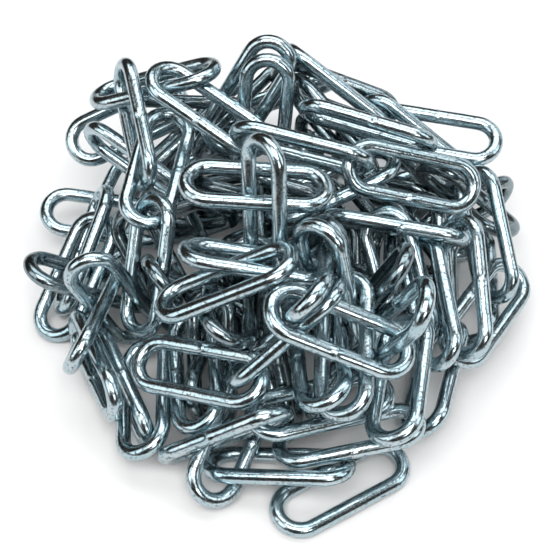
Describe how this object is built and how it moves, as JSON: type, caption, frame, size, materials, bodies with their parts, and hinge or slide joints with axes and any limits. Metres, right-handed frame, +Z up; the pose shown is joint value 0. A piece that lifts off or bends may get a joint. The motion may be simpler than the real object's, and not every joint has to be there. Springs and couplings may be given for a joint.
{
  "type": "heap of steel chain",
  "caption": "Loose heap of long-link steel chain, bright zinc plated, lying in a low rounded pile on the floor.",
  "frame": {"origin": "centre of the heap's box on the floor", "axes": "+Z up, +Y towards the heap's back, away from the picture's camera, +X to its right"},
  "size_m": [0.1412, 0.1458, 0.07],
  "materials": {
    "zinc_plated_steel": "bright zinc plate with a cold blue tint, drawn wire with fine dents",
    "inner_zinc_plated_steel": "bright zinc plate, in the shade inside the heap"
  },
  "bodies": {
    "root": {"link_back_arch": "zinc_plated_steel", "link_back_bar": "zinc_plated_steel", "link_back_floor_left": "zinc_plated_steel", "link_back_floor_middle": "zinc_plated_steel", "link_back_floor_right": "zinc_plated_steel", "link_back_inner_arch": "zinc_plated_steel", "link_back_left_foot": "zinc_plated_steel", "link_back_slope_left": "zinc_plated_steel", "link_back_slope_middle": "zinc_plated_steel", "link_back_slope_right": "zinc_plated_steel", "link_crest_bar": "zinc_plated_steel", "link_crest_diagonal": "zinc_plated_steel", "link_crest_hook": "zinc_plated_steel", "link_crest_right_bar": "zinc_plated_steel", "link_crest_right_bow": "zinc_plated_steel", "link_crest_right_long": "zinc_plated_steel", "link_front_arch": "zinc_plated_steel", "link_front_dark_bar": "zinc_plated_steel", "link_front_floor": "zinc_plated_steel", "link_front_foot": "zinc_plated_steel", "link_front_hook": "zinc_plated_steel", "link_front_inner_bow": "zinc_plated_steel", "link_front_left_bar": "zinc_plated_steel", "link_front_left_bow": "zinc_plated_steel", "link_front_left_flat": "zinc_plated_steel", "link_front_left_floor": "zinc_plated_steel", "link_front_left_inner": "zinc_plated_steel", "link_front_low_bar": "zinc_plated_steel", "link_front_low_eye": "zinc_plated_steel", "link_front_low_long": "zinc_plated_steel", "link_front_right_bow": "zinc_plated_steel", "link_front_right_end": "zinc_plated_steel", "link_front_right_floor": "zinc_plated_steel", "link_front_right_hook": "zinc_plated_steel", "link_front_top": "zinc_plated_steel", "link_left_crest_bar": "zinc_plated_steel", "link_left_crest_eye": "zinc_plated_steel", "link_left_edge_bar": "zinc_plated_steel", "link_left_edge_eye": "zinc_plated_steel", "link_left_edge_long": "zinc_plated_steel", "link_left_foot": "zinc_plated_steel", "link_left_front_bar": "zinc_plated_steel", "link_left_front_bow": "zinc_plated_steel", "link_left_front_long": "zinc_plated_steel", "link_left_loop": "zinc_plated_steel", "link_left_loop_bar": "zinc_plated_steel", "link_middle_arch": "zinc_plated_steel", "link_middle_diagonal": "zinc_plated_steel", "link_middle_left": "zinc_plated_steel", "link_middle_low": "zinc_plated_steel", "link_middle_right": "zinc_plated_steel", "link_right_back_eye": "zinc_plated_steel", "link_right_bar": "zinc_plated_steel", "link_right_edge_long": "zinc_plated_steel", "link_right_hook": "zinc_plated_steel", "link_right_inner": "zinc_plated_steel", "link_right_long": "zinc_plated_steel", "link_right_slope": "zinc_plated_steel", "inner_links": "inner_zinc_plated_steel"}
  },
  "joints": []
}
